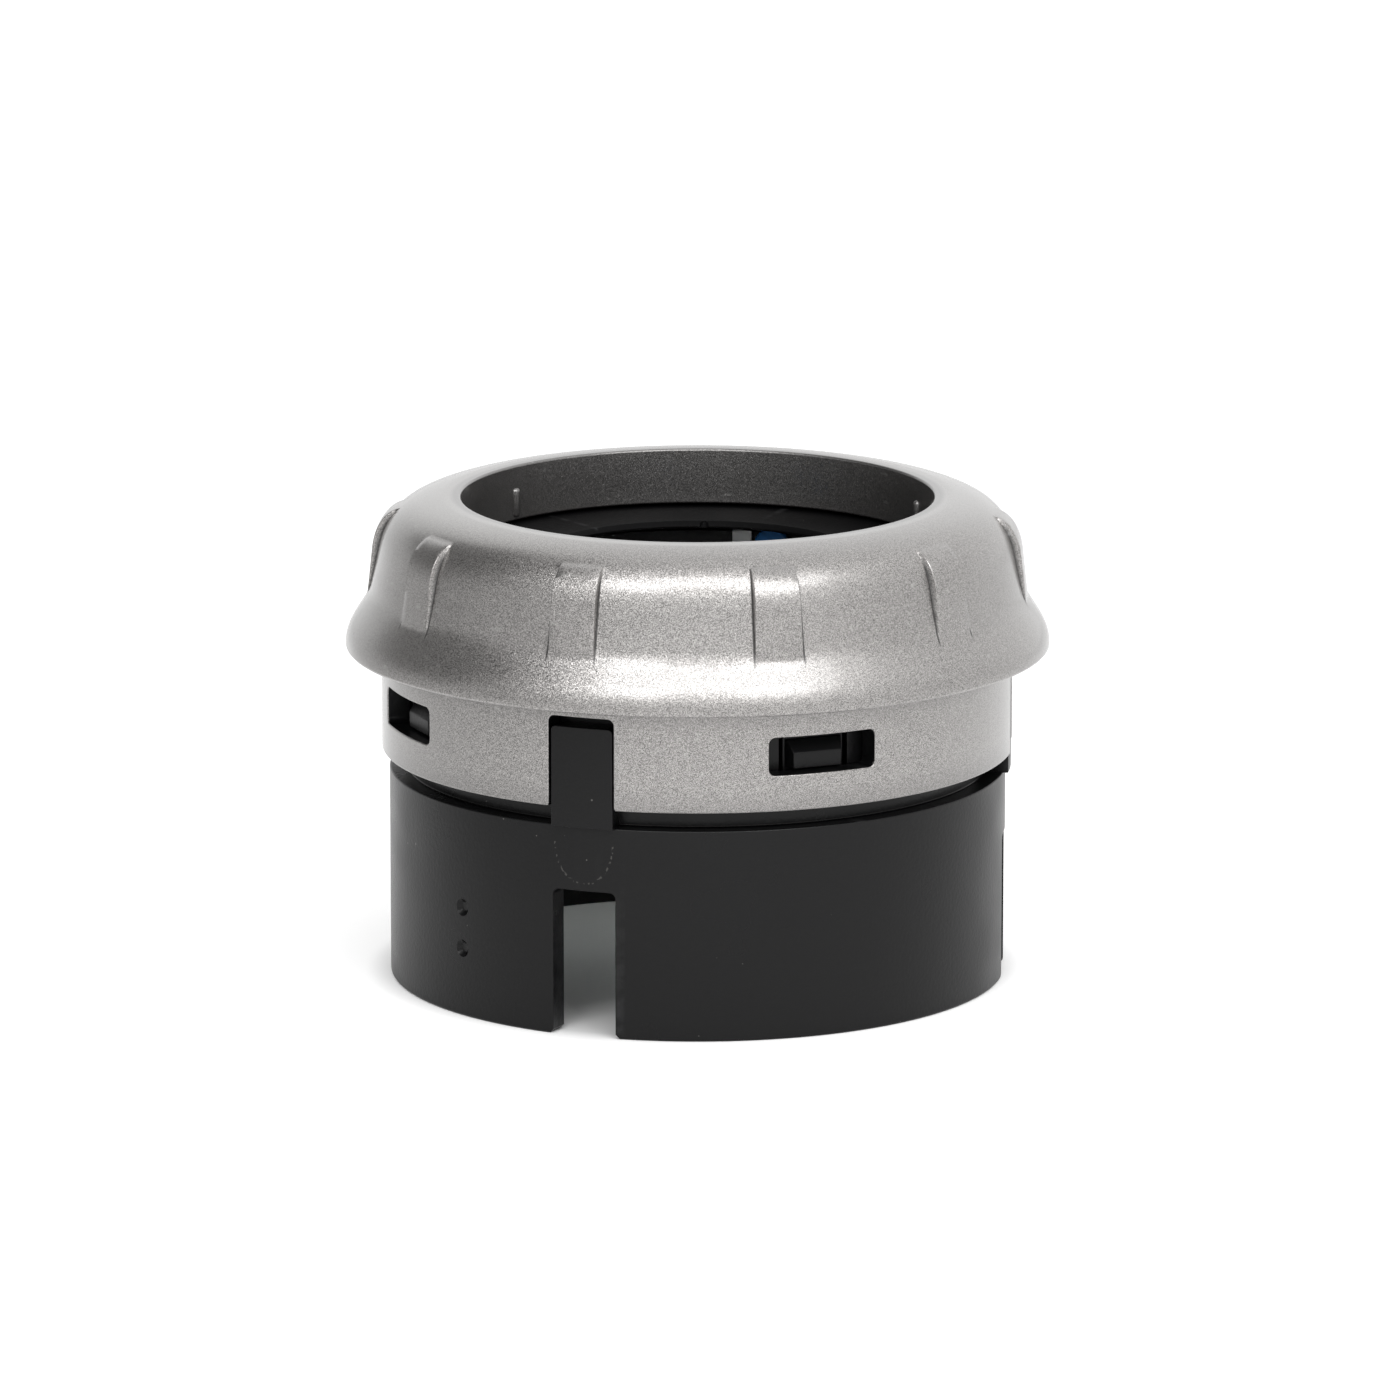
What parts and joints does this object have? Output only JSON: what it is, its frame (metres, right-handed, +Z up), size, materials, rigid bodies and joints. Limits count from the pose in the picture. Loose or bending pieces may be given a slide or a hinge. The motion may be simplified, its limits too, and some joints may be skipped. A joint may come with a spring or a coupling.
{
  "type": "grain focuser",
  "caption": "Round stand magnifier for judging film grain: silver grip cap snapped and keyed onto a black slotted skirt, with a recessed focus dial that raises and lowers the lens.",
  "frame": {"origin": "centre of the skirt's foot, on the surface that the magnifier stands on", "axes": "+Z up along the optical axis, -Y towards the front key and slot, +X to the right of it"},
  "size_m": [0.0696, 0.0696, 0.0479],
  "materials": {
    "silver_paint": "silver metallic paint with a fine flake, satin",
    "black_moulding": "black moulded plastic, semi-gloss",
    "dial_black": "black moulded plastic, matt",
    "cell_black": "black anodised, fine turned",
    "lens_glass": "polished, coated",
    "blue_moulding": "blue moulded plastic, low friction",
    "spring_steel": "bright spring strip",
    "screw_steel": "plated"
  },
  "bodies": {
    "stand": {"stand_sleeve": "black_moulding", "grip_cap": "silver_paint", "guide_ring": "dial_black", "guide_ring_screw_1": "screw_steel", "guide_ring_screw_2": "screw_steel", "guide_ring_screw_3": "screw_steel"},
    "dial": {"focus_dial": "dial_black"},
    "cell": {"lens_cell": "cell_black", "field_lens": "lens_glass", "eye_lens": "lens_glass", "lens_spacer": "cell_black", "lens_retainer": "cell_black", "guide_stud_1": "blue_moulding", "guide_stud_2": "blue_moulding", "guide_stud_3": "blue_moulding", "guide_stud_4": "blue_moulding", "guide_stud_5": "blue_moulding", "guide_stud_6": "blue_moulding", "drag_clip_1": "spring_steel", "drag_clip_2": "spring_steel", "drag_clip_3": "spring_steel"},
    "latch_1": {"snap_arm_1": "black_moulding"},
    "latch_2": {"snap_arm_2": "black_moulding"},
    "latch_3": {"snap_arm_3": "black_moulding"},
    "latch_4": {"snap_arm_4": "black_moulding"}
  },
  "joints": [
    {"name": "dial_turn", "type": "hinge", "parent": "stand", "child": "dial", "pos_m": [0, 0, 0.03], "axis": [0, 0, 1], "range_deg": [0, 60]},
    {"name": "cell_slide", "type": "slide", "parent": "stand", "child": "cell", "axis": [0, 0, 1], "range_m": [-0.003, 0]},
    {"name": "snap_arm_1_flex", "type": "hinge", "parent": "stand", "child": "latch_1", "pos_m": [0.01952, -0.01952, 0.0239], "axis": [-0.7071, -0.7071, 0], "range_deg": [0, 18], "stiffness_Nm_per_rad": 0.3},
    {"name": "snap_arm_2_flex", "type": "hinge", "parent": "stand", "child": "latch_2", "pos_m": [0.01952, 0.01952, 0.0239], "axis": [0.7071, -0.7071, 0], "range_deg": [0, 18], "stiffness_Nm_per_rad": 0.3},
    {"name": "snap_arm_3_flex", "type": "hinge", "parent": "stand", "child": "latch_3", "pos_m": [-0.01952, 0.01952, 0.0239], "axis": [0.7071, 0.7071, 0], "range_deg": [0, 18], "stiffness_Nm_per_rad": 0.3},
    {"name": "snap_arm_4_flex", "type": "hinge", "parent": "stand", "child": "latch_4", "pos_m": [-0.01952, -0.01952, 0.0239], "axis": [-0.7071, 0.7071, 0], "range_deg": [0, 18], "stiffness_Nm_per_rad": 0.3}
  ],
  "couplings": [
    {"joint": "dial_turn", "follows": "cell_slide", "rad_per_m": -349}
  ]
}
